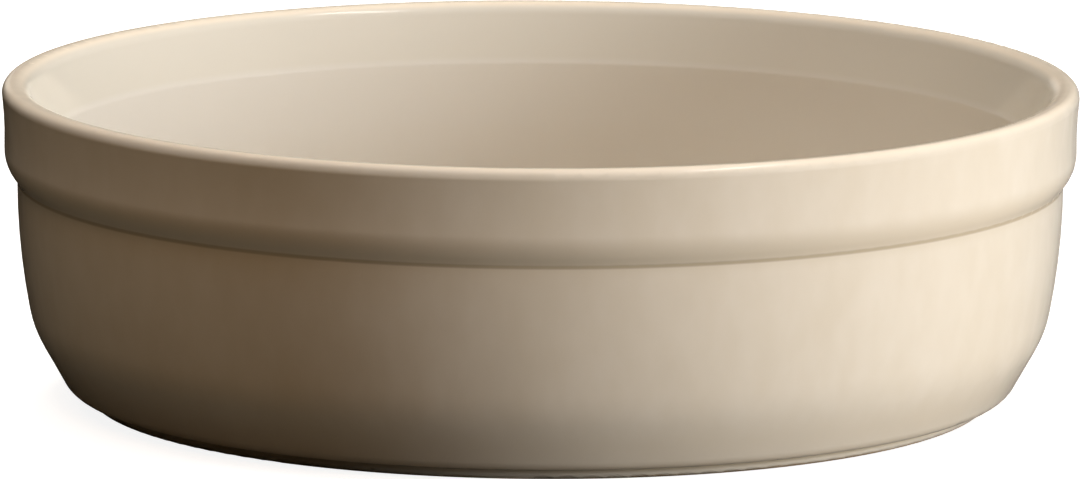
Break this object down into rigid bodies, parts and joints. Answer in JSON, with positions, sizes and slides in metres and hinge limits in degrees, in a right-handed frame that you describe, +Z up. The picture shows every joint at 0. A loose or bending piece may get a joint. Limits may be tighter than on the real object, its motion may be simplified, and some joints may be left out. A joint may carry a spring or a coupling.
{
  "type": "creme brulee dish",
  "caption": "Shallow round baking dish with a raised collar round the rim, a bend low on the wall and a foot ring, for a single baked custard.",
  "frame": {"origin": "middle of the plane that the foot ring stands on", "axes": "+Z up along the dish's axis, from the foot ring to the rim; the dish is round, so +X and +Y are free"},
  "size_m": [0.1246, 0.1246, 0.037],
  "materials": {
    "glaze": "gloss"
  },
  "bodies": {
    "root": {"dish": "glaze"}
  },
  "joints": []
}
